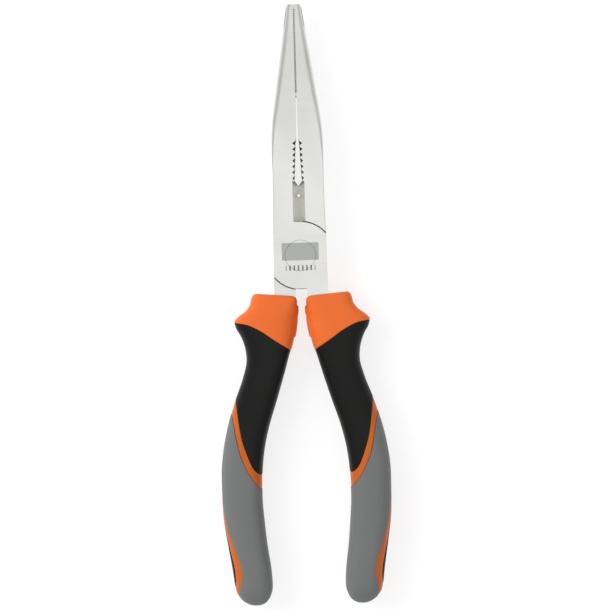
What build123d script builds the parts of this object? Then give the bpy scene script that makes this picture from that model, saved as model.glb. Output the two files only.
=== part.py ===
from build123d import *
import os

os.makedirs("parts", exist_ok=True)

# Fishing pliers: two forged halves on a lap joint, one flush rivet and a two-colour soft grip
# on each tang. Millimetres. The pliers lie flat: Z is the pivot axis, +Y runs to the jaw tips
# and +X to the right. The origin is the pivot axis on the back face of the joint.

# Overall sizes
jaw_length = 83.4  # pivot to jaw tips
grip_end = 116.2  # pivot to the rounded ends of the grips
half_span = 28.4  # pivot line to the widest point of one grip
joint_thickness = 10.0
grip_thickness = 14.0

# Lap joint
joint_radius = 11.1  # round cheek of each half
cheek_flat = 2.3  # ground off each side of the round cheek
joint_width = 2 * (joint_radius - cheek_flat)
shoulder_clearance = 0.3  # round cheek to the shoulder it turns in
lap_clearance = 0.1  # between the two flat cheeks
rivet_diameter = 9.0
rivet_head_diameter = 10.3
rivet_head_depth = 1.2
rivet_rim_chamfer = 0.15
running_clearance = 0.05  # rivet in the half that turns, on the radius

# Jaws
face_clearance = 0.06  # between the two closed jaws
nose_start = 36.0  # where the jaws begin to taper
taper_start = 48.0  # where the taper runs straight
tip_width = 4.8
tip_thickness = 3.2
tip_corner = 0.8
waist_height = 24.0
waist_width = 16.8
bulge_width = 17.05
rounding_start = 30.0  # where the outer edges begin to round
crisp_rounding = 0.025  # edge rounding as a share of the thickness
tip_rounding = 0.46
nose_station_count = 16
serration_start = 54.0
serration_pitch = 0.7
serration_depth = 0.25
serration_land = 0.08  # flat left on each crest
tip_land = 0.5  # plain land left at the very tip
blank_margin = 1.0  # how far a cutter stands past what it cuts
notch_margin = 0.2  # the same for the sloping cuts

# Narrow window and round pipe grip behind the serrations
window_top = 52.7
window_top_half = 0.15
window_bottom = 38.5
window_bottom_half = 0.38
pipe_top = 38.0
pipe_notch_count = 7
pipe_notch_pitch = 1.92
pipe_crest_top = 0.55
pipe_crest_bottom = 1.2
pipe_root_top = 1.62
pipe_root_bottom = 2.0
pipe_crest_land = 0.16  # flat left on each crest
pipe_notch_floor = 0.15  # share of the notch depth left at the middle plane by the forging draft
pipe_notch_reach = 0.1  # past the crests, so that each notch opens onto the gap
pipe_throat = 1.3  # closing point of the pipe grip below its last notch

# Side cutters
cutter_bevel = 2.0  # ground width on each face
cutter_land = 0.3  # thickness left along the cutting edge
wire_notch_height = 20.0
wire_notch_diameter = 1.1

# Tangs
tang_neck_inner = 1.9
tang_neck_width = 7.0
tang_end_cover = 18.2  # grip beyond the end of the tang
tang_end = grip_end - tang_end_cover

# Grips
collar_gap = 1.1  # bare steel between the round cheek and the collar
grip_top = joint_radius + collar_gap
collar_depth = 12.0  # from the top of the collar, where the tang stays straight
soft_thickness = 1.7  # soft skin over the hard core

mid_height = joint_thickness / 2
shoulder_radius = joint_radius + shoulder_clearance
lap_half = lap_clearance / 2
face_half = face_clearance / 2
pipe_bottom = pipe_top - pipe_notch_count * pipe_notch_pitch
groove_half = (serration_pitch - serration_land) / 2
groove_reach = face_clearance  # past the face, so that each groove opens onto it
flip_axis = Axis((0, 0, mid_height), (0, 1, 0))


def across_plane(distance):
    """Plane square to the length of the pliers, facing down the handles."""
    return Plane.XZ.offset(distance)


def between(start, end, share):
    return start + (end - start) * share


# Front half: left jaw, front cheek of the joint and right tang in one forging
def jaw_face_points():
    """Working face of the left jaw from the pivot up to the tip."""
    points = [
        (-face_half, 0),
        (-face_half, pipe_bottom - pipe_throat),
        (-pipe_crest_bottom, pipe_bottom),
        (-pipe_crest_top, pipe_top),
    ]
    points.append((-window_bottom_half, window_bottom))
    points.append((-window_top_half, window_top))
    points.append((-face_half, window_top + window_top_half))
    points.append((-face_half, jaw_length + blank_margin))
    return points


def notch_corners(notch, depth_share):
    """Root and open ends of one pipe grip notch of the left jaw, at a share of its depth."""
    share = (notch + 0.5) / pipe_notch_count
    crest = between(pipe_crest_bottom, pipe_crest_top, share)
    depth = (between(pipe_root_bottom, pipe_root_top, share) - crest) * depth_share
    half = (pipe_notch_pitch - pipe_crest_land) / 2 * depth_share
    open_half = half * (1 + pipe_notch_reach / depth)
    middle = pipe_bottom + (notch + 0.5) * pipe_notch_pitch
    open_side = pipe_notch_reach - crest
    return [(-crest - depth, middle), (open_side, middle - open_half), (open_side, middle + open_half)]


def serration_middles():
    """Middle of each fine groove across the face of the left jaw."""
    count = int((jaw_length - tip_land - serration_start) / serration_pitch)
    middles = []
    for groove in range(count):
        middles.append((-face_half, serration_start + (groove + 0.5) * serration_pitch))
    return middles


def ease(share):
    """Smooth step from 0 to 1."""
    return share * share * (3 - 2 * share)


def tapered(height, full, tip):
    """Size that stays full up to the nose, bends over and then tapers straight to the tip."""
    bend = taper_start - nose_start
    slope = (full - tip) / (jaw_length - nose_start - bend / 2)
    if height <= nose_start:
        return full
    if height <= taper_start:
        return full - slope * (height - nose_start) ** 2 / (2 * bend)
    return tip + slope * (jaw_length - height)


def nose_section(height):
    """Width, thickness and edge rounding of both closed jaws at a height above the pivot."""
    if height < waist_height:
        width = between(joint_width, waist_width, ease(max(height, 0) / waist_height))
    elif height < nose_start:
        share = (height - waist_height) / (nose_start - waist_height)
        width = between(waist_width, bulge_width, ease(share))
    else:
        width = tapered(height, bulge_width, tip_width)
    thickness = tapered(height, joint_thickness, tip_thickness)
    round_share = max(0, height - rounding_start) / (jaw_length - rounding_start)
    rounding = thickness * between(crisp_rounding, tip_rounding, round_share)
    return width, thickness, rounding


tip_lean = nose_section(jaw_length - tip_corner)[0] / 2 - tip_width / 2
nose_foot = -0.5  # the nose reaches into the joint, where the cheek takes over
nose_step = (jaw_length - nose_foot) / nose_station_count
nose_stations = [nose_foot + n * nose_step for n in range(nose_station_count + 1)]

# Stations of the tang: distance below the pivot, then the middle as a share of the half span,
# the width as a share of the neck and the thickness as a share of the joint
tang_neck_middle = tang_neck_inner + tang_neck_width / 2
tang_root = joint_radius / 2
tang_bend = [
    (grip_top + collar_depth, 0.31, 1.0, 0.8),
    (tang_end * 0.42, 0.50, 0.95, 0.66),
    (tang_end * 0.66, 0.71, 0.9, 0.62),
    (tang_end * 0.84, 0.75, 0.85, 0.6),
    (tang_end, 0.70, 0.7, 0.5),
]
tang_stations = [
    (distance, tang_neck_middle, tang_neck_width, joint_thickness)
    for distance in (tang_root, grip_top + collar_gap)
]
for distance, middle_share, width_share, thickness_share in tang_bend:
    width = tang_neck_width * width_share
    tang_stations.append(
        (distance, half_span * middle_share, width, joint_thickness * thickness_share)
    )

with BuildPart() as front_half:
    # left jaw: the tapered and rounded nose, cut back to the working face
    for height in nose_stations:
        width, thickness, rounding = nose_section(height)
        with BuildSketch(across_plane(-height)):
            with Locations((0, mid_height)):
                RectangleRounded(width, thickness, rounding)
    loft()
    with BuildSketch(Plane.XY.offset(-blank_margin)):
        with BuildLine():
            Polyline(
                (-face_half, -joint_radius),
                *jaw_face_points(),
                (joint_width, jaw_length + blank_margin),
                (joint_width, -joint_radius),
                close=True,
            )
        make_face()
    extrude(amount=joint_thickness + 2 * blank_margin, mode=Mode.SUBTRACT)
    # notches of the pipe grip, deep at both faces and drafted towards the middle plane
    draft = (1 - pipe_notch_floor) / mid_height
    for side in (1, -1):
        for notch in range(pipe_notch_count):
            with BuildSketch(Plane.XY.offset(mid_height)):
                Polygon(*notch_corners(notch, pipe_notch_floor), align=None)
            with BuildSketch(Plane.XY.offset(mid_height + side * (mid_height + notch_margin))):
                Polygon(*notch_corners(notch, 1 + draft * notch_margin), align=None)
            loft(mode=Mode.SUBTRACT)
    # fine cross serration of the tips
    with BuildSketch(Plane.XY.offset(-blank_margin)):
        with Locations(serration_middles()):
            Polygon(
                (groove_reach, groove_half * (1 + groove_reach / serration_depth)),
                (-serration_depth, 0),
                (groove_reach, -groove_half * (1 + groove_reach / serration_depth)),
                align=None,
            )
    extrude(amount=joint_thickness + 2 * blank_margin, mode=Mode.SUBTRACT)
    # rounded outer corner of the tip
    with BuildSketch(Plane.XY.offset(-blank_margin)):
        with Locations((tip_corner - tip_width / 2 - tip_lean, jaw_length - tip_corner)):
            Rectangle(2 * tip_corner, 2 * tip_corner, align=(Align.MAX, Align.MIN))
            Circle(tip_corner, mode=Mode.SUBTRACT)
    extrude(amount=joint_thickness + 2 * blank_margin, mode=Mode.SUBTRACT)
    # ground bevels of the side cutter, one from each face
    bevel_slope = (cutter_bevel - face_half) / (mid_height - cutter_land / 2)
    for side in (1, -1):
        with BuildSketch(across_plane(-joint_radius)):
            edge = mid_height + side * cutter_land / 2
            beyond = mid_height + side * (mid_height + notch_margin)
            with BuildLine():
                Polyline(
                    (-face_half, edge),
                    (-cutter_bevel - bevel_slope * notch_margin, beyond),
                    (blank_margin, beyond),
                    (blank_margin, edge),
                    close=True,
                )
            make_face()
        extrude(amount=-(pipe_bottom - joint_radius), mode=Mode.SUBTRACT)
    with BuildSketch(Plane.XY.offset(-blank_margin)):
        with Locations((0, wire_notch_height)):
            Circle(wire_notch_diameter / 2)
    extrude(amount=joint_thickness + 2 * blank_margin, mode=Mode.SUBTRACT)
    # right tang
    for distance, middle, width, thickness in tang_stations:
        with BuildSketch(across_plane(distance)):
            with Locations((middle, mid_height)):
                Rectangle(width, thickness)
    loft(ruled=True)
    # room for the other half's cheek, then this half's own cheek
    with BuildSketch(Plane.XY.offset(-blank_margin)):
        Circle(shoulder_radius)
    extrude(amount=blank_margin + mid_height + lap_half, mode=Mode.SUBTRACT)
    with BuildSketch(Plane.XY.offset(mid_height + lap_half)):
        Circle(joint_radius)
        Rectangle(joint_width, 2 * joint_radius, mode=Mode.INTERSECT)
    extrude(amount=mid_height - lap_half)
    # rivet hole with its countersink
    with BuildSketch(Plane.XY.offset(-blank_margin)):
        Circle(rivet_diameter / 2)
    extrude(amount=joint_thickness + 2 * blank_margin, mode=Mode.SUBTRACT)
    with BuildSketch(Plane.XY.offset(joint_thickness)):
        Circle(rivet_head_diameter / 2)
    with BuildSketch(Plane.XY.offset(joint_thickness - rivet_head_depth)):
        Circle(rivet_diameter / 2)
    loft(mode=Mode.SUBTRACT)
front_half.part.label = "front_half"

# Back half: the same forging turned over, with a running fit on the rivet
with BuildPart() as back_half:
    add(front_half.part.rotate(flip_axis, 180))
    with BuildSketch(Plane.XY.offset(-blank_margin)):
        Circle(rivet_diameter / 2 + running_clearance)
    extrude(amount=joint_thickness + 2 * blank_margin, mode=Mode.SUBTRACT)
    with BuildSketch():
        Circle(rivet_head_diameter / 2 + running_clearance)
    with BuildSketch(Plane.XY.offset(rivet_head_depth)):
        Circle(rivet_diameter / 2 + running_clearance)
    loft(mode=Mode.SUBTRACT)
back_half.part.label = "back_half"

# Pivot rivet: plain shank with a conical head set flush in each face
with BuildPart() as pivot_rivet:
    with BuildSketch():
        Circle(rivet_diameter / 2)
    extrude(amount=joint_thickness)
    for face_height, side in ((0, 1), (joint_thickness, -1)):
        with BuildSketch(Plane.XY.offset(face_height)):
            Circle(rivet_head_diameter / 2)
        with BuildSketch(Plane.XY.offset(face_height + side * rivet_head_depth)):
            Circle(rivet_diameter / 2)
        loft()
    rims = pivot_rivet.edges().filter_by(GeomType.CIRCLE)
    rims = rims.filter_by(lambda rim: rim.radius > rivet_diameter / 2 + running_clearance)
    chamfer(rims, rivet_rim_chamfer)
pivot_rivet.part.label = "pivot_rivet"

# Grips. The outline is drawn for a grip of the drawn length and half span and scaled to the
# named sizes: distance below the collar top, inner side, outer side, share of full thickness.
drawn_length = 104.0
drawn_half_span = 28.4
along = (grip_end - grip_top) / drawn_length
across = half_span / drawn_half_span
grip_stations = [
    (0.0, 2.0, 15.3, 0.96),
    (4.0, 1.2, 17.3, 1.0),
    (7.0, 1.6, 20.4, 1.0),
    (9.8, 1.95, 22.5, 1.0),
    (13.0, 2.2, 21.3, 0.97),
    (17.0, 2.9, 19.7, 0.94),
    (22.0, 4.6, 19.05, 0.93),
    (28.0, 6.5, 20.4, 0.94),
    (36.0, 9.0, 23.4, 0.97),
    (48.0, 12.5, 26.8, 1.0),
    (60.0, 14.2, 28.3, 1.0),
    (72.0, 14.3, 28.1, 1.0),
    (84.0, 13.2, 26.6, 0.98),
    (94.0, 12.0, 25.1, 0.93),
    (99.0, 12.1, 24.2, 0.86),
    (102.2, 13.6, 21.8, 0.66),
    (104.0, 16.2, 19.2, 0.36),
]
edge_rounding_share = 0.42

# Borders between the colours, drawn in the same way from the outer side to the inner side
collar_border = [(30.0, 8.6), (22.5, 9.6), (16.0, 11.8), (10.5, 14.7), (4.5, 18.5), (-2.0, 22.4)]
stripe_top = [(24.0, 28.0), (22.7, 36.5), (21.5, 45.0), (18.8, 54.5), (15.2, 59.4), (8.0, 62.5)]
stripe_bottom = [(26.0, 33.0), (23.7, 44.0), (22.2, 52.8), (18.5, 61.2), (14.8, 65.6), (8.0, 69.5)]
zone_top = -10.0
zone_inner = -12.0
zone_outer = 45.0

# Teardrop insert on the outer side, seen from the side
insert_height = 12.4
insert_rim = 2.6  # orange border around the soft pad
insert_round_at = 93.0
insert_tip_at = 62.0
insert_tip_setback = 4.0  # how much faster the point moves in than the rim is wide
insert_floor = 0.76  # share of the half span at which the insert begins


def plan_point(x, below_collar):
    """Plan point of the right grip, scaled from the drawn outline."""
    return (x * across, -grip_top - below_collar * along)


def grip_section_sizes(inset):
    """Distance, middle, width and thickness of each section, set in from the outer skin."""
    sizes = []
    for below_collar, inner, outer, share in grip_stations:
        width = (outer - inner) * across - 2 * inset
        thickness = grip_thickness * share - 2 * inset
        if inset == 0 or min(width, thickness) > 2 * soft_thickness:
            distance = grip_top + below_collar * along
            sizes.append((distance, (outer + inner) / 2 * across, width, thickness))
    return sizes


def zone_frame(border):
    """Closes a border over everything above it, back to where the border starts."""
    inner_end = border[-1]
    outer_end = border[0]
    frame = [
        inner_end,
        (zone_inner, inner_end[1]),
        (zone_inner, zone_top),
        (zone_outer, zone_top),
        (zone_outer, outer_end[1]),
        outer_end,
    ]
    return [plan_point(x, below) for x, below in frame]


def teardrop_sizes(rim):
    """Radius, round end and point of the teardrop, set in by the rim."""
    radius = insert_height / 2 - rim
    round_at = grip_top + insert_round_at * along
    tip_at = grip_top + (insert_tip_at + insert_tip_setback * rim) * along
    return radius, -round_at, -tip_at


insert_plane = Plane(origin=(half_span * insert_floor, 0, 0), x_dir=(0, 1, 0), z_dir=(1, 0, 0))
under_plane = Plane.XY.offset(-grip_thickness)
tall = 3 * grip_thickness

with BuildPart() as outer_skin:
    for distance, middle, width, thickness in grip_section_sizes(0):
        with BuildSketch(across_plane(distance)):
            with Locations((middle, mid_height)):
                RectangleRounded(width, thickness, edge_rounding_share * min(width, thickness))
    loft()

with BuildPart() as soft_shell:
    add(outer_skin.part)
    for distance, middle, width, thickness in grip_section_sizes(soft_thickness):
        with BuildSketch(across_plane(distance)):
            with Locations((middle, mid_height)):
                RectangleRounded(width, thickness, edge_rounding_share * min(width, thickness))
    loft(mode=Mode.SUBTRACT)

# Black upper sleeve between the collar and the stripe
with BuildPart() as right_grip_upper_sleeve:
    with BuildSketch(under_plane):
        with BuildLine():
            Spline([plan_point(x, below) for x, below in stripe_top])
            Polyline(zone_frame(stripe_top))
        make_face()
    extrude(amount=tall)
    with BuildSketch(under_plane):
        with BuildLine():
            Spline([plan_point(x, below) for x, below in collar_border])
            Polyline(zone_frame(collar_border))
        make_face()
    extrude(amount=tall, mode=Mode.SUBTRACT)
    add(soft_shell.part, mode=Mode.INTERSECT)
right_grip_upper_sleeve.part.label = "right_grip_upper_sleeve"

# Grey lower sleeve below the stripe, open on the outer side for the insert
with BuildPart() as right_grip_lower_sleeve:
    add(soft_shell.part)
    with BuildSketch(under_plane):
        with BuildLine():
            Spline([plan_point(x, below) for x, below in stripe_bottom])
            Polyline(zone_frame(stripe_bottom))
        make_face()
    extrude(amount=tall, mode=Mode.SUBTRACT)
    radius, round_at, tip_at = teardrop_sizes(0)
    with BuildSketch(insert_plane):
        with BuildLine():
            Line((round_at, mid_height + radius), (tip_at, mid_height))
            Line((tip_at, mid_height), (round_at, mid_height - radius))
            ThreePointArc(
                (round_at, mid_height - radius),
                (round_at - radius, mid_height),
                (round_at, mid_height + radius),
            )
        make_face()
    extrude(amount=half_span, mode=Mode.SUBTRACT)
right_grip_lower_sleeve.part.label = "right_grip_lower_sleeve"

# Black end insert inside the orange border
with BuildPart() as right_grip_end_insert:
    radius, round_at, tip_at = teardrop_sizes(insert_rim)
    with BuildSketch(insert_plane):
        with BuildLine():
            Line((round_at, mid_height + radius), (tip_at, mid_height))
            Line((tip_at, mid_height), (round_at, mid_height - radius))
            ThreePointArc(
                (round_at, mid_height - radius),
                (round_at - radius, mid_height),
                (round_at, mid_height + radius),
            )
        make_face()
    extrude(amount=half_span)
    add(soft_shell.part, mode=Mode.INTERSECT)
right_grip_end_insert.part.label = "right_grip_end_insert"

# Hard orange core: collar, stripe, insert border and the sleeve on the tang
with BuildPart() as right_grip_core:
    add(outer_skin.part)
    add(right_grip_upper_sleeve.part, mode=Mode.SUBTRACT)
    add(right_grip_lower_sleeve.part, mode=Mode.SUBTRACT)
    add(right_grip_end_insert.part, mode=Mode.SUBTRACT)
    add(front_half.part, mode=Mode.SUBTRACT)
right_grip_core.part.label = "right_grip_core"

# The left grip is the right one turned over
with BuildPart() as left_grip_core:
    add(right_grip_core.part.rotate(flip_axis, 180))
left_grip_core.part.label = "left_grip_core"

with BuildPart() as left_grip_upper_sleeve:
    add(right_grip_upper_sleeve.part.rotate(flip_axis, 180))
left_grip_upper_sleeve.part.label = "left_grip_upper_sleeve"

with BuildPart() as left_grip_lower_sleeve:
    add(right_grip_lower_sleeve.part.rotate(flip_axis, 180))
left_grip_lower_sleeve.part.label = "left_grip_lower_sleeve"

with BuildPart() as left_grip_end_insert:
    add(right_grip_end_insert.part.rotate(flip_axis, 180))
left_grip_end_insert.part.label = "left_grip_end_insert"

pieces = [
    front_half,
    back_half,
    pivot_rivet,
    right_grip_core,
    right_grip_upper_sleeve,
    right_grip_lower_sleeve,
    right_grip_end_insert,
    left_grip_core,
    left_grip_upper_sleeve,
    left_grip_lower_sleeve,
    left_grip_end_insert,
]
for piece in pieces:
    export_step(piece.part, f"parts/{piece.part.label}.step")
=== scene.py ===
import math

import bpy
import numpy as np
from mathutils import Matrix, Vector


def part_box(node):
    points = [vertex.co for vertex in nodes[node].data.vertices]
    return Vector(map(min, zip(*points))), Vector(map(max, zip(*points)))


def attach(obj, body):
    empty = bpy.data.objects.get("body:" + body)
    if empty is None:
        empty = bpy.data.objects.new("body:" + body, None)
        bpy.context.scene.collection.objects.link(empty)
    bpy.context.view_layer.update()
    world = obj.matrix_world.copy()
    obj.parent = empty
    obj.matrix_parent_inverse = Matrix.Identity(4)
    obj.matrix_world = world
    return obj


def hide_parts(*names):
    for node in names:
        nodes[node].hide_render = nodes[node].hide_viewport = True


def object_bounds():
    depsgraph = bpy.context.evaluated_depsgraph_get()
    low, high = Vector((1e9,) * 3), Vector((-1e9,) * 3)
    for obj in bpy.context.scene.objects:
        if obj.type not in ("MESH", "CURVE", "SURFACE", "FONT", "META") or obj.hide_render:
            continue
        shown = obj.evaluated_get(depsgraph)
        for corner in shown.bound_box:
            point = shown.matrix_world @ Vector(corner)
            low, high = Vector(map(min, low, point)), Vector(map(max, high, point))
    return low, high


# Fishing pliers, 200 mm long: two forged steel halves on a lap joint and a two-colour soft grip
# on each tang. They lie flat, jaws towards +Y, with the pivot axis along Z through the origin.
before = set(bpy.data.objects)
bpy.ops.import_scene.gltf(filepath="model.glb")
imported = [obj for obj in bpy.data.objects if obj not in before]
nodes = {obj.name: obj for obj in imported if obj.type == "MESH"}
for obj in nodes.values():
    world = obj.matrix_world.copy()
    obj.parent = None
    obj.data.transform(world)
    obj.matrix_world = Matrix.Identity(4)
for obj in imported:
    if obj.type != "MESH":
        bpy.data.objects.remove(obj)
cad_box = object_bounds()


# Forged halves
# Two drop forgings of hardened tool steel, belt-ground and satin polished, held by a flush rivet.
# The joint faces and the cutter bevels are ground last, with marks that run across the tool.
MM = 0.001
joint_back, joint_front = (corner.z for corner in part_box("pivot_rivet"))
steel_tones = ("#d0d1cd", "#e9eae7")
etched_panel = (0.0, 1.3, 6.1, 2.9)  # middle and half size in the plan, in mm
tick_row = (0.0, -4.1, 4.9, 0.85)
tick_pitch = 1.4
tick_share = 0.18  # half the width of a tick as a share of the pitch
tooth_pitch = 0.7
gap_radius = 11.25  # middle of the gap between each round cheek and its shoulder
COLOUR_A, COLOUR_B, VALUE_A, VALUE_B = 6, 7, 2, 3  # sockets of a Mix node


def linear(hex_colour):
    """sRGB hex to the linear colour that a shader socket takes."""
    channels = [int(hex_colour[i:i + 2], 16) / 255 for i in (1, 3, 5)]
    return tuple(
        c / 12.92 if c <= 0.04045 else ((c + 0.055) / 1.055) ** 2.4 for c in channels
    ) + (1.0,)


def add_node(material, kind, settings=None, links=None):
    """Adds one shader node, sets its sockets or properties and links its inputs."""
    node = material.node_tree.nodes.new(kind)
    for key, value in (settings or {}).items():
        if isinstance(key, int) or key in node.inputs:
            node.inputs[key].default_value = value
        else:
            setattr(node, key, value)
    for key, source in (links or {}).items():
        material.node_tree.links.new(source, node.inputs[key])
    return node


def new_material(name):
    """An empty material with its output node."""
    material = bpy.data.materials.new(name)
    material.use_nodes = True
    material.node_tree.nodes.clear()
    return material, add_node(material, "ShaderNodeOutputMaterial")


def set_surface(material, output, shader):
    """Links the finished shader to the material's output."""
    material.node_tree.links.new(shader.outputs[0], output.inputs["Surface"])


def inside_all(material, tests):
    """1 where every tested value lies within its half width of its middle, otherwise 0."""
    product = None
    for value, middle, half_width in tests:
        inside = add_node(
            material,
            "ShaderNodeMath",
            {"operation": "COMPARE", 1: middle, 2: half_width},
            {0: value},
        ).outputs[0]
        if product is None:
            product = inside
        else:
            product = add_node(
                material, "ShaderNodeMath", {"operation": "MULTIPLY"}, {0: product, 1: inside}
            ).outputs[0]
    return product


# Satin polished tool steel: bright, slightly warm grey, duller where it was ground. The belt
# marks are 0.1 mm apart and are drawn 0.25 mm apart, as fine as the render can show.
steel, steel_output = new_material("satin_polished_tool_steel")
place = add_node(steel, "ShaderNodeTexCoord")
millimetres = add_node(
    steel,
    "ShaderNodeVectorMath",
    {"operation": "SCALE", "Scale": 1 / MM},
    {0: place.outputs["Object"]},
)
x, y, z = add_node(steel, "ShaderNodeSeparateXYZ", {}, {0: millimetres.outputs[0]}).outputs
facing = add_node(steel, "ShaderNodeSeparateXYZ", {}, {0: place.outputs["Normal"]}).outputs[2]
plan_place = add_node(steel, "ShaderNodeCombineXYZ", {}, {0: x, 1: y})
radius = add_node(
    steel, "ShaderNodeVectorMath", {"operation": "LENGTH"}, {0: plan_place.outputs[0]}
).outputs["Value"]

mark_size = (30 * MM, 0.25 * MM, 2 * MM)  # along, between and into the belt marks
marks_place = add_node(
    steel,
    "ShaderNodeMapping",
    {"Scale": tuple(1 / size for size in mark_size)},
    {"Vector": place.outputs["Object"]},
)
marks = add_node(
    steel,
    "ShaderNodeTexNoise",
    {"Scale": 1.0, "Detail": 3.0, "Roughness": 0.6},
    {"Vector": marks_place.outputs[0]},
)
cloud_size = 16 * MM  # patches left by hand polishing
cloud = add_node(
    steel,
    "ShaderNodeTexNoise",
    {"Scale": 1 / cloud_size, "Detail": 2.0, "Roughness": 0.5},
    {"Vector": place.outputs["Object"]},
)
tone = add_node(
    steel,
    "ShaderNodeMix",
    {
        "data_type": "RGBA",
        COLOUR_A: linear(steel_tones[0]),
        COLOUR_B: linear(steel_tones[1]),
    },
    {0: cloud.outputs[0]},
)
polish = add_node(
    steel,
    "ShaderNodeMapRange",
    {"From Min": 0.3, "From Max": 0.7, "To Min": 0.3, "To Max": 0.42},
    {"Value": marks.outputs[0]},
)

# The fraction of x in pitches is one half at the middle of each tick
tick_count = add_node(
    steel, "ShaderNodeMath", {"operation": "MULTIPLY", 1: 1 / tick_pitch}, {0: x}
)
tick_phase = add_node(
    steel, "ShaderNodeMath", {"operation": "FRACT"}, {0: tick_count.outputs[0]}
).outputs[0]

# Painted shade of the serration valleys: a saw line in the gripping faces' dark colour along the
# closed tips
off_middle = add_node(steel, "ShaderNodeMath", {"operation": "ABSOLUTE"}, {0: x})
tooth = add_node(steel, "ShaderNodeMath", {"operation": "PINGPONG", 1: tooth_pitch / 2}, {0: y})
beyond_tooth = add_node(
    steel,
    "ShaderNodeMath",
    {"operation": "SUBTRACT"},
    {0: off_middle.outputs[0], 1: tooth.outputs[0]},
).outputs[0]

# Each finish is tested by where it lies, as a value, its middle and its half width. The arcs of
# painted shade along the joint gap lie on the front where x and y have the same sign, and on
# the back where they don't.
quadrant = add_node(steel, "ShaderNodeMath", {"operation": "MULTIPLY"}, {0: x, 1: y}).outputs[0]
on_front = (z, joint_front / MM, 0.2)
on_back = (z, joint_back / MM, 0.2)
upright = (facing, 0.0, 0.5)
sloping = (facing, 0.5, 0.3)
same_sign = (quadrant, 50.0, 50.0)
other_sign = (quadrant, -50.0, 50.0)
gripping_faces = [(x, 0.0, 3.4), (y, 51.5, 31.0), upright]
brightened_cutter_bevels = [(x, 0.0, 2.4), (y, 19.8, 8.8), sloping]
valley_shade_line = [(beyond_tooth, -0.3, 0.34), (y, 67.8, 14.2)]
gap_shade_and_oil = [(radius, gap_radius, 0.35), (y, 0.0, 11.05), upright]
front_gap_shade_arcs = [(radius, gap_radius, 0.2), same_sign, on_front]
back_gap_shade_arcs = [(radius, gap_radius, 0.2), other_sign, on_back]
cheek_foot_shade = [(x, 0.0, 1.9), (y, -11.1, 0.2), on_front]
panel = [(x, etched_panel[0], etched_panel[2]), (y, etched_panel[1], etched_panel[3]), on_front]
ticks = [
    (x, tick_row[0], tick_row[2]),
    (y, tick_row[1], tick_row[3]),
    (tick_phase, 0.5, tick_share),
    on_front,
]
finishes = [
    (gripping_faces, "#77776f", 0.5),  # dark skin of the hardening furnace
    (brightened_cutter_bevels, "#fbfbf8", 0.45),  # painted light: base colour lifted to offset the shade in the deep cutter grooves
    # painted shade of the serration valleys
    (valley_shade_line, "#77776f", 0.5),
    (gap_shade_and_oil, "#1d1c1a", 0.5),  # painted shade in the deep joint gap, with oil
    # painted shade: dark lines along the rim of the joint gap and at the foot of the cheek
    (front_gap_shade_arcs, "#3a3a37", 0.5),
    (back_gap_shade_arcs, "#3a3a37", 0.5),
    (cheek_foot_shade, "#6f6f69", 0.5),
    (panel, "#c3c6c1", 0.6),  # etched
    (ticks, "#8b8d89", 0.6),
]
colour_now = tone.outputs[2]
rough_now = polish.outputs[0]
for tests, colour, roughness in finishes:
    inside = inside_all(steel, tests)
    colour_now = add_node(
        steel,
        "ShaderNodeMix",
        {"data_type": "RGBA", COLOUR_B: linear(colour)},
        {0: inside, COLOUR_A: colour_now},
    ).outputs[2]
    rough_now = add_node(
        steel,
        "ShaderNodeMix",
        {"data_type": "FLOAT", VALUE_B: roughness},
        {0: inside, VALUE_A: rough_now},
    ).outputs[0]
bump = add_node(
    steel,
    "ShaderNodeBump",
    {"Strength": 0.12, "Distance": 0.02 * MM},
    {"Height": marks.outputs[0]},
)
polished = add_node(
    steel,
    "ShaderNodeBsdfPrincipled",
    {"Metallic": 1.0},
    {"Base Color": colour_now, "Roughness": rough_now, "Normal": bump.outputs[0]},
)
set_surface(steel, steel_output, polished)
for name in ("front_half", "back_half", "pivot_rivet"):
    nodes[name].data.materials.clear()
    nodes[name].data.materials.append(steel)


# Hard core
# Orange polypropylene moulded straight onto each tang. It shows as the collar with the finger
# guard, as the stripe between the soft skins and as the rim around the end insert.

# All pieces of a grip share one outer shape, drawn for the right hand side: a collar with a
# finger guard, a waist for the fingers, a long belly and a rounded end. Distances run down from
# the top of the collar, in mm.
mid_height = (joint_back + joint_front) / 2
collar_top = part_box("right_grip_core")[1].y / MM
end_clearance = 0.5  # from the rounded end to the end of the frame's own grip
grip_length = collar_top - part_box("right_grip_lower_sleeve")[0].y / MM - end_clearance
end_start = grip_length - 6.6  # where the rounded end begins
end_lean = (0.5, 99, 104)  # the rounded end leans in: how far, from and to
width_bluntness = 2.15  # 2 gives a plain ellipse
thickness_bluntness = 2.1

# Distance down, inner side, outer side, thickness, squareness of the section
grip_profile = np.array([
    (0.0, 1.9, 15.9, 13.4, 4.4),
    (1.8, 1.5, 16.7, 13.8, 4.4),
    (3.8, 1.5, 17.2, 14.0, 4.2),
    (5.8, 1.5, 18.7, 14.0, 4.0),
    (7.8, 1.8, 21.4, 14.0, 3.8),
    (9.4, 1.9, 22.6, 13.9, 3.6),
    (11.2, 2.1, 22.1, 13.8, 3.5),
    (13.8, 2.55, 20.6, 13.5, 3.3),
    (17.8, 3.45, 19.2, 13.2, 3.1),
    (21.8, 4.85, 18.8, 13.0, 3.0),
    (27.8, 6.65, 20.15, 13.1, 2.9),
    (35.8, 9.15, 23.1, 13.5, 2.8),
    (43.8, 11.75, 25.6, 13.8, 2.7),
    (51.8, 13.6, 27.3, 14.0, 2.7),
    (59.8, 14.5, 28.1, 14.0, 2.7),
    (67.8, 14.7, 28.15, 14.0, 2.7),
    (75.8, 14.2, 27.6, 14.0, 2.7),
    (83.8, 13.45, 26.4, 13.8, 2.7),
    (91.8, 12.4, 25.15, 13.2, 2.6),
    (97.0, 12.1, 24.6, 12.7, 2.5),
    (104.0, 12.45, 23.8, 12.2, 2.4),
])
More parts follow.
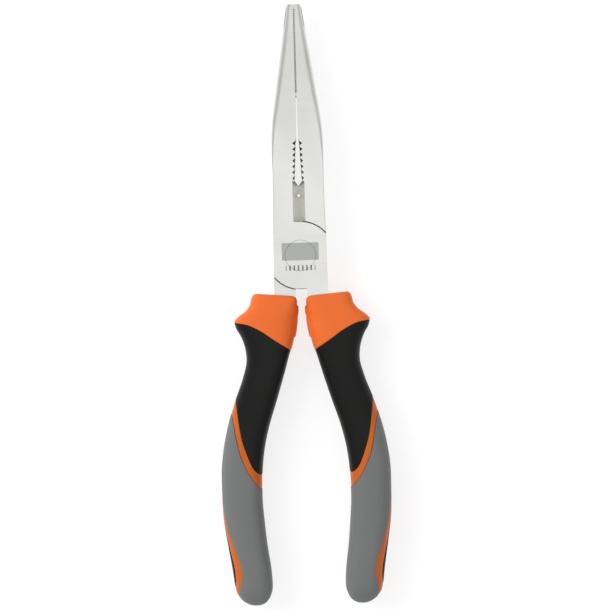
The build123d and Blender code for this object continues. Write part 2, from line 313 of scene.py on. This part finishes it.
collar_slope = 0.09  # the collar top drops towards the pivot line
collar_outer = 15.5
slope_end = 9  # distance down at which the slope has died out
pad_height = 0.45  # flat pad on the inner side of the collar
pad_top = (3.3, 3.8)
pad_bottom = (14.4, 15.2)
pad_side = (3.2, 4.2)  # from the middle of the thickness


def smooth_curve(points, column):
    """Smooth curve through a column of the drawn points, with no overshoot between them."""
    down = points[:, 0]
    value = points[:, column]
    step = np.diff(down)
    slope = np.diff(value) / step
    tangent = np.empty(len(down))
    tangent[0], tangent[-1] = slope[0], slope[-1]
    before, after = slope[:-1], slope[1:]
    weight = (before * step[1:] + after * step[:-1]) / (step[1:] + step[:-1])
    turning = before * after <= 0
    limit = 2.5 * np.minimum(abs(before), abs(after))
    tangent[1:-1] = np.where(turning, 0, np.clip(weight, -limit, limit))

    def at(where):
        where = np.clip(where, down[0], down[-1])
        k = np.clip(np.searchsorted(down, where) - 1, 0, len(step) - 1)
        t = (where - down[k]) / step[k]
        a, b = value[k], value[k + 1]
        ta, tb = tangent[k] * step[k], tangent[k + 1] * step[k]
        return (
            (2 * t**3 - 3 * t**2 + 1) * a
            + (t**3 - 2 * t**2 + t) * ta
            + (3 * t**2 - 2 * t**3) * b
            + (t**3 - t**2) * tb
        )

    return at


inner_side = smooth_curve(grip_profile, 1)
outer_side = smooth_curve(grip_profile, 2)
full_thickness = smooth_curve(grip_profile, 3)
outer_squareness = smooth_curve(grip_profile, 4)


def inner_squareness(down):
    """The finger side is rounder than the outer side, except where it clears the square tang."""
    return np.interp(down, (0.0, 1.5, 3.0, 5.0, 10.0), (8.0, 8.0, 5.0, 4.0, 3.0))


def smooth_step(value, low, high):
    """Eases from 0 at the low value to 1 at the high one."""
    share = np.clip((value - low) / (high - low), 0, 1)
    return share * share * (3 - 2 * share)


def end_shrink(down, blunt):
    """Share of the full section left in the rounded end."""
    share = np.clip((down - end_start) / (grip_length - end_start), 0, 1)
    return (1 - share**blunt) ** (1 / blunt)


def section(down):
    """Middle, half width and half thickness of the grip."""
    lean, lean_start, lean_stop = end_lean
    middle = (inner_side(down) + outer_side(down)) / 2
    middle = middle - lean * smooth_step(down, lean_start, lean_stop)
    half_width = (outer_side(down) - inner_side(down)) / 2 * end_shrink(down, width_bluntness)
    half_thick = full_thickness(down) / 2 * end_shrink(down, thickness_bluntness)
    return middle, half_width, half_thick


def grip_surface(turn, down, inset):
    """Points of the grip, in mm: turn round the section from the outer side, down the grip."""
    middle, half_width, half_thick = section(down)
    power = np.where(np.cos(turn) < 0, inner_squareness(down), outer_squareness(down))
    reach = (abs(np.cos(turn)) ** power + abs(np.sin(turn)) ** power) ** (-1 / power)
    x = middle + np.maximum(half_width - inset, 0) * reach * np.cos(turn)
    z = np.maximum(half_thick - inset, 0) * reach * np.sin(turn)
    on_pad = smooth_step(down, *pad_top) * (1 - smooth_step(down, *pad_bottom))
    on_pad = on_pad * (1 - smooth_step(abs(z), *pad_side)) * (x < middle)
    x = x - pad_height * on_pad
    drop = collar_slope * (collar_outer - x) * (1 - smooth_step(down, 0, slope_end))
    return x, collar_top - down - drop, z


def border(points):
    """Distance down at which the border between two colours crosses each turn."""
    at = smooth_curve(np.array(points)[::-1], 1)
    highest, lowest = 2.0, 85.0
    halvings = 40

    def crossing(turn):
        low = np.full_like(turn, highest)
        high = np.full_like(turn, lowest)
        for _ in range(halvings):
            middle = (low + high) / 2
            below = middle > at(grip_surface(turn, middle, 0.0)[0])
            high = np.where(below, middle, high)
            low = np.where(below, low, middle)
        return (low + high) / 2

    return crossing


def grid_piece(name, points, material):
    """Shapes a plane grid into rows of points, closes it and turns its faces outwards."""
    rows, columns = points[0].shape
    bpy.ops.object.select_all(action="DESELECT")
    bpy.ops.mesh.primitive_grid_add(
        x_subdivisions=columns - 1, y_subdivisions=rows - 1, size=2.0, location=(0, 0, 0)
    )
    piece = bpy.context.active_object
    piece.name = name
    piece.data.name = name
    x, y, z = (np.asarray(axis, float).reshape(-1) for axis in points)
    co = np.stack([x * MM, y * MM, mid_height + z * MM], axis=1)
    piece.data.vertices.foreach_set("co", co.reshape(-1))
    piece.data.update()
    bpy.ops.object.mode_set(mode="EDIT")
    bpy.ops.mesh.select_all(action="SELECT")
    bpy.ops.mesh.remove_doubles(threshold=0.002 * MM)
    bpy.ops.mesh.normals_make_consistent(inside=False)
    bpy.ops.object.mode_set(mode="OBJECT")
    faces = piece.data.polygons
    middle = sum((face.center for face in faces), Vector()) / len(faces)
    outwards = sum(face.area * face.normal.dot(face.center - middle) for face in faces)
    if outwards < 0:
        bpy.ops.object.mode_set(mode="EDIT")
        bpy.ops.mesh.flip_normals()
        bpy.ops.object.mode_set(mode="OBJECT")
    piece.data.materials.append(material)
    return piece


def make_active(piece):
    """Selects one piece alone, for the operators that follow."""
    bpy.ops.object.select_all(action="DESELECT")
    piece.select_set(True)
    bpy.context.view_layer.objects.active = piece


def apply_modifier(piece, kind, **settings):
    """Adds a modifier with its settings and applies it."""
    make_active(piece)
    modifier = piece.modifiers.new(kind.title(), kind)
    for key, value in settings.items():
        setattr(modifier, key, value)
    bpy.ops.object.modifier_apply(modifier=modifier.name)


def smooth_shading(piece, angle):
    """Smooth shading up to an angle between faces, in degrees."""
    make_active(piece)
    bpy.ops.object.shade_smooth_by_angle(angle=math.radians(angle))


def on_both_sides(piece, name, node):
    """Copies a right piece for the left grip, turned over about the long axis, and fits both."""
    turned_over = piece.copy()
    turned_over.data = piece.data.copy()
    turned_over.name = f"left_{name}"
    bpy.context.scene.collection.objects.link(turned_over)
    flip = Matrix.Rotation(math.pi, 4, "Y")
    to_middle = Matrix.Translation((0, 0, mid_height))
    turned_over.data.transform(to_middle @ flip @ to_middle.inverted())
    for side, made, body in (("right", piece, "front_body"), ("left", turned_over, "back_body")):
        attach(made, body)
        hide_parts(f"{side}_{node}")


def moulded_material(name, colour, worn_colour, roughness, grain_mm, grain_depth):
    """Moulded plastic: grain of the spark-eroded mould and gloss that handling has made uneven."""
    material, output = new_material(name)
    place = add_node(material, "ShaderNodeTexCoord")
    grain = add_node(
        material,
        "ShaderNodeTexNoise",
        {"Scale": 1 / (grain_mm * MM), "Detail": 2.0, "Roughness": 0.55},
        {"Vector": place.outputs["Object"]},
    )
    handling_size = 18 * MM
    handling = add_node(
        material,
        "ShaderNodeTexNoise",
        {"Scale": 1 / handling_size, "Detail": 3.0, "Roughness": 0.5},
        {"Vector": place.outputs["Object"]},
    )
    tone = add_node(
        material,
        "ShaderNodeMix",
        {"data_type": "RGBA", COLOUR_A: linear(colour), COLOUR_B: linear(worn_colour)},
        {0: handling.outputs[0]},
    )
    gloss = add_node(
        material,
        "ShaderNodeMapRange",
        {
            "From Min": 0.35,
            "From Max": 0.65,
            "To Min": roughness - 0.05,
            "To Max": roughness + 0.05,
        },
        {"Value": handling.outputs[0]},
    )
    bump = add_node(
        material,
        "ShaderNodeBump",
        {"Strength": 0.25, "Distance": grain_depth * MM},
        {"Height": grain.outputs[0]},
    )
    shader = add_node(
        material,
        "ShaderNodeBsdfPrincipled",
        {"Specular IOR Level": 0.2},
        {
            "Base Color": tone.outputs[2],
            "Roughness": gloss.outputs[0],
            "Normal": bump.outputs[0],
        },
    )
    set_surface(material, output, shader)
    return material


# Polypropylene with a fine moulded grain, 0.35 mm across: an even, half-matt orange. The stripe
# and the rim get a darker copy of it, painted shade where they lie low between the skins.
orange = moulded_material("moulded_orange_polypropylene", "#df6628", "#e56e30", 0.42, 0.35, 0.03)
shaded_orange = moulded_material(
    "orange_polypropylene_painted_shade", "#b95a1c", "#c46322", 0.42, 0.35, 0.03
)

# Plan points of the borders: distance from the pivot line, distance below the collar top
collar_border = border(
    [(24.0, 9.1), (22.4, 9.55), (18.0, 10.5), (13.4, 12.8), (9.3, 15.6), (4.3, 18.8), (1.0, 21.2)]
)
stripe_top_border = border([
    (23.6, 31.0), (22.7, 36.4), (21.4, 45.5), (19.4, 52.6), (17.4, 57.3), (15.0, 59.6), (13.0, 60.2)
])
stripe_bottom_border = border([
    (25.0, 36.0), (23.7, 43.2), (22.0, 51.7), (19.9, 57.5), (17.7, 61.2), (15.3, 64.3), (13.0, 65.6)
])
columns = 145
around = np.linspace(0, 2 * np.pi, columns)
collar_line = collar_border(around)
stripe_top = stripe_top_border(around)
stripe_bottom = stripe_bottom_border(around)

# Rows of the core from the tang out over the collar, under the upper skin, over the stripe and
# under the lower skin to the end. Each is a distance down and an inset from the outer shape.
skin_depth = 1.5
top_inset = 7.0  # the collar top closes on the tang
top_round = 0.9
groove_round = [(0.0, 0.55), (0.04, 0.32), (0.14, 0.14), (0.3, 0.05), (0.55, 0.0)]
groove_width, groove_depth = groove_round[-1][0], groove_round[0][1]
stripe_sink = 0.08  # the stripe lies this far below the skins
core_end = grip_length - 1.6  # inside the end of the lower skin
core_end_inset = 9.0  # past the middle, so that the end closes

core_rows = []
for share in (0.0, 0.5, 0.85):
    core_rows.append((np.zeros(columns), top_inset * (1 - share) + top_round * share))
for angle in np.linspace(0, np.pi / 2, 7):
    core_rows.append(
        (np.full(columns, top_round * (1 - np.cos(angle))), top_round * (1 - np.sin(angle)))
    )
for share in np.linspace(0, 1, 90)[1:]:
    core_rows.append((top_round + (collar_line - groove_width - top_round) * share, 0.0))
for along, inset in reversed(groove_round[:-1]):
    core_rows.append((collar_line - along, inset))
core_rows.append((collar_line, skin_depth))
for share in np.linspace(0, 1, 24)[1:-1]:
    core_rows.append((collar_line + (stripe_top - collar_line) * share, skin_depth))
core_rows.append((stripe_top, skin_depth))
for along, inset in groove_round:
    core_rows.append((stripe_top + along, inset + stripe_sink))
stripe_flat = stripe_bottom - stripe_top - 2 * groove_width
for share in np.linspace(0, 1, 8)[1:-1]:
    core_rows.append((stripe_top + groove_width + stripe_flat * share, stripe_sink))
for along, inset in reversed(groove_round):
    core_rows.append((stripe_bottom - along, inset + stripe_sink))
core_rows.append((stripe_bottom, skin_depth))
for share in np.sin(np.linspace(0, np.pi / 2, 40))[1:]:
    core_rows.append((stripe_bottom + (core_end - stripe_bottom) * share, skin_depth))
core_rows.append((np.full(columns, core_end), core_end_inset))


def stacked(rows, turn):
    """Surface points of a list of rows, each a distance down and an inset."""
    down = np.array([row[0] * np.ones(columns) for row in rows])
    inset = np.array([row[1] * np.ones(columns) for row in rows])
    return grip_surface(np.broadcast_to(turn, down.shape), down, inset)


core = grid_piece("right_hard_core", stacked(core_rows, around), orange)
core.data.materials.append(shaded_orange)
# Below the collar the core takes the darker copy of the orange, as painted shade on the stripe.
collar_foot = (collar_top - 26) * MM  # under the upper skin, clear of collar and stripe
for face in core.data.polygons:
    face.material_index = 1 if face.center.y < collar_foot else 0


# Rim of the end insert: a teardrop ring on the outer side, sunk into the core. Each teardrop has
# its point, its round end and its half height.
rim_outer = (53.0, 101.4, 6.2)
rim_inner = (70.0, 97.4, 3.7)
fullest = 0.65  # height of the plain teardrop curve, scaled out of it


def teardrop(angle, tip, end, height):
    """Outline seen from the side: distance down and height from the middle."""
    down = tip + (end - tip) * (1 - np.cos(angle)) / 2
    fullness = np.sin(angle) * np.sin(angle / 2) ** 2
    return down, height * fullness / fullest


def outer_surface(down, height, inset):
    """Points of the outer side at a height from the middle."""
    middle, half_width, half_thick = section(down)
    power = outer_squareness(down)
    share = np.clip(abs(height) / np.maximum(half_thick, 0.01), 0, 1)
    x = middle + half_width * (1 - share**power) ** (1 / power) - inset
    return x, collar_top - down, height


rim_turn = np.linspace(0, 2 * np.pi, 161)
outer_line = teardrop(rim_turn, *rim_outer)
inner_line = teardrop(rim_turn, *rim_inner)
rim_depth = 2.4
# Share of the way from the outer to the inner line, then the inset: up the outer wall, over the
# rounded edges and the flat, down the inner wall and back under the ring
rim_rows = [(0.0, rim_depth), (0.0, 0.5), (0.02, 0.28), (0.06, 0.16), (0.14, 0.1), (0.3, 0.08)]
rim_rows += [(0.5, 0.08), (0.7, 0.08), (0.86, 0.1), (0.94, 0.16), (0.98, 0.28), (1.0, 0.5)]
rim_rows += [(1.0, rim_depth), (0.5, rim_depth), (0.0, rim_depth)]
rim_down = np.array([outer_line[0] + (inner_line[0] - outer_line[0]) * k for k, _ in rim_rows])
rim_height = np.array([outer_line[1] + (inner_line[1] - outer_line[1]) * k for k, _ in rim_rows])
rim_inset = np.array([np.full(len(rim_turn), inset) for _, inset in rim_rows])
rim = grid_piece("insert_rim", outer_surface(rim_down, rim_height, rim_inset), shaded_orange)
bpy.ops.object.select_all(action="DESELECT")
rim.select_set(True)
core.select_set(True)
bpy.context.view_layer.objects.active = core
bpy.ops.object.join()
smooth_shading(core, 50)
on_both_sides(core, "hard_core", "grip_core")


# Upper skin
# Soft black elastomer moulded into the core between the collar and the stripe, 1.2 mm thick,
# with a narrow parting groove at both borders.
skin_gap = 0.06
skin_thickness = 1.2
collar_sink = 0.14  # the skin starts this far below the collar and rises to the full section
sink_share = 0.12  # of the way down the skin
skin_edge_round = 0.2

# Thermoplastic elastomer with a fine grain, 0.3 mm across: a deep black with a soft sheen
black = moulded_material("soft_black_elastomer", "#0e0e0d", "#131312", 0.5, 0.3, 0.05)


def make_skin(sheet):
    """Gives an outer sheet its wall and rounds the edges at its borders."""
    apply_modifier(
        sheet, "SOLIDIFY", thickness=skin_thickness * MM, offset=-1.0, use_even_offset=False
    )
    apply_modifier(
        sheet,
        "BEVEL",
        width=skin_edge_round * MM,
        segments=2,
        limit_method="ANGLE",
        angle_limit=math.radians(60),
    )
    smooth_shading(sheet, 45)


rows = 100
share = np.linspace(0, 1, rows)[:, None]
upper_start = collar_line + skin_gap
upper_end = stripe_top - skin_gap
upper = grid_piece(
    "right_upper_skin",
    grip_surface(
        np.broadcast_to(around, (rows, columns)),
        upper_start + (upper_end - upper_start) * share,
        collar_sink * (1 - smooth_step(share, 0.0, sink_share)) * np.ones((rows, columns)),
    ),
    black,
)
make_skin(upper)
on_both_sides(upper, "upper_skin", "grip_upper_sleeve")


# Lower skin
# Soft grey elastomer from the stripe round the rounded end, open on the outer side for the
# insert. Its grid is slit down the outer side and the slit opens along the teardrop.

# The same elastomer, coloured grey: matt and slightly cool
grey = moulded_material("soft_grey_elastomer", "#6b6c6c", "#737474", 0.55, 0.3, 0.05)
rows = 170
belly_rows = 0.8  # share of the rows that are spaced evenly, and how far down they reach
belly_reach = 0.84
spread = np.linspace(0, 1, rows)
end_turn = (spread - belly_rows) / (1 - belly_rows) * np.pi / 2
row_share = np.where(
    spread < belly_rows,
    spread / belly_rows * belly_reach,
    belly_reach + (1 - belly_reach) * np.sin(end_turn),
)
rim_gap = 0.1
hole_down, hole_height = teardrop(
    np.linspace(0, np.pi, 2000), rim_outer[0] - rim_gap, rim_outer[1] + rim_gap, rim_outer[2]
)


def turn_at(height, down):
    """Turn at which the section reaches a height on the outer side."""
    x, _, _ = outer_surface(down, height, 0.0)
    middle, half_width, half_thick = section(down)
    return np.arctan2(height / max(half_thick, 0.01), (x - middle) / max(half_width, 0.01))


lower_start = stripe_bottom + skin_gap
turns, downs = [], []
for share in row_share:
    edge = 0.0
    for _ in range(12):  # the edge settles on the teardrop
        start = np.interp(edge, around, lower_start)
        down = start + (grip_length - start) * share
        height = np.interp(down, hole_down, hole_height, left=0.0, right=0.0)
        edge = float(turn_at(height, down)) if height > 0 else 0.0
    turn = edge + (2 * np.pi - 2 * edge) * np.linspace(0, 1, columns)
    start = np.interp(turn, around, lower_start)
    turns.append(turn)
    downs.append(start + (grip_length - start) * share)
lower = grid_piece(
    "right_lower_skin",
    grip_surface(np.array(turns), np.array(downs), np.zeros((rows, columns))),
    grey,
)
make_skin(lower)
on_both_sides(lower, "lower_skin", "grip_lower_sleeve")


# End insert
# A pad of the black elastomer let into the rim on the outer side, slightly crowned. Its rows run
# from the middle of the back over the edge to the middle of the front.
pad_gap = 0.08
pad_tip_gap = 0.15
pad_crown = 0.12
pad_back = 1.4  # inset of its back
pad_line = teardrop(
    rim_turn, rim_inner[0] + pad_tip_gap, rim_inner[1] - pad_gap, rim_inner[2] - pad_gap
)
pad_middle = (pad_line[0].min() + 2 * pad_line[0].max()) / 3
pad_rows = [(0.0, pad_back), (0.5, pad_back), (1.0, pad_back)]
pad_rows += [(1.0, 0.3), (0.99, 0.16), (0.96, 0.06), (0.9, 0.0)]
pad_rows += [(k, -pad_crown * (1 - k**2)) for k in (0.8, 0.65, 0.5, 0.35, 0.2, 0.1, 0.0)]
pad_down = np.array([pad_middle + (pad_line[0] - pad_middle) * k for k, _ in pad_rows])
pad_high = np.array([pad_line[1] * k for k, _ in pad_rows])
pad_inset = np.array([np.full(len(rim_turn), inset) for _, inset in pad_rows])
insert = grid_piece("right_end_insert", outer_surface(pad_down, pad_high, pad_inset), black)
smooth_shading(insert, 50)
on_both_sides(insert, "end_insert", "grip_end_insert")


# Studio
# A pale light table under the tool, one soft box straight above for the steel, a broad key on
# the left and a camera straight over it.

# White acrylic lit from below: even and nearly free of shadow
light_table, table_output = new_material("pale_light_table")
card = add_node(
    light_table,
    "ShaderNodeBsdfPrincipled",
    {
        "Base Color": (0.3, 0.3, 0.3, 1),
        "Roughness": 0.9,
        "Specular IOR Level": 0.1,
        "Emission Color": (1, 1, 1, 1),
        "Emission Strength": 0.75,
    },
)
set_surface(light_table, table_output, card)

bpy.ops.object.select_all(action="DESELECT")
bpy.ops.mesh.primitive_plane_add(size=3.0, location=(0, 0, cad_box[0][2]))
floor = bpy.context.active_object
floor.name = "studio_floor"
floor.data.materials.append(light_table)


def soft_box(name, place, target, size, power):
    """Rectangular area light aimed at a point."""
    light = bpy.data.lights.new(name, "AREA")
    light.shape = "RECTANGLE"
    light.size, light.size_y = size
    light.energy = power
    lamp = bpy.data.objects.new(name, light)
    bpy.context.scene.collection.objects.link(lamp)
    lamp.location = place
    lamp.rotation_euler = (Vector(target) - Vector(place)).to_track_quat("-Z", "Y").to_euler()
    return lamp


soft_box("overhead_box", (0, -0.02, 1.05), (0, -0.02, 0), (1.0, 1.0), 1.7)
key = soft_box("key_box", (-0.55, 0.2, 0.5), (0, -0.03, 0), (0.5, 0.5), 3.7)
key.visible_glossy = False  # a polarised key gives no glare on the steel

world = bpy.data.worlds.new("pale_studio")
bpy.context.scene.world = world
world.use_nodes = True
backdrop = world.node_tree.nodes["Background"]
backdrop.inputs["Color"].default_value = (1, 1, 1, 1)
backdrop.inputs["Strength"].default_value = 0.62

# Camera: overhead, with the tool's axis leaning a degree and a half
camera_data = bpy.data.cameras.new("overhead_camera")
camera = bpy.data.objects.new("overhead_camera", camera_data)
bpy.context.scene.collection.objects.link(camera)
view_width = 202.6 * MM
camera_height = 800 * MM
view_middle = (1.1 * MM, -16.4 * MM)
camera_data.sensor_width = 36.0
camera_data.lens = camera_data.sensor_width * camera_height / view_width
camera.location = (*view_middle, mid_height + camera_height)
camera.rotation_euler = (0, 0, math.radians(-1.57))
bpy.context.scene.camera = camera
bpy.context.scene.view_settings.view_transform = "Standard"
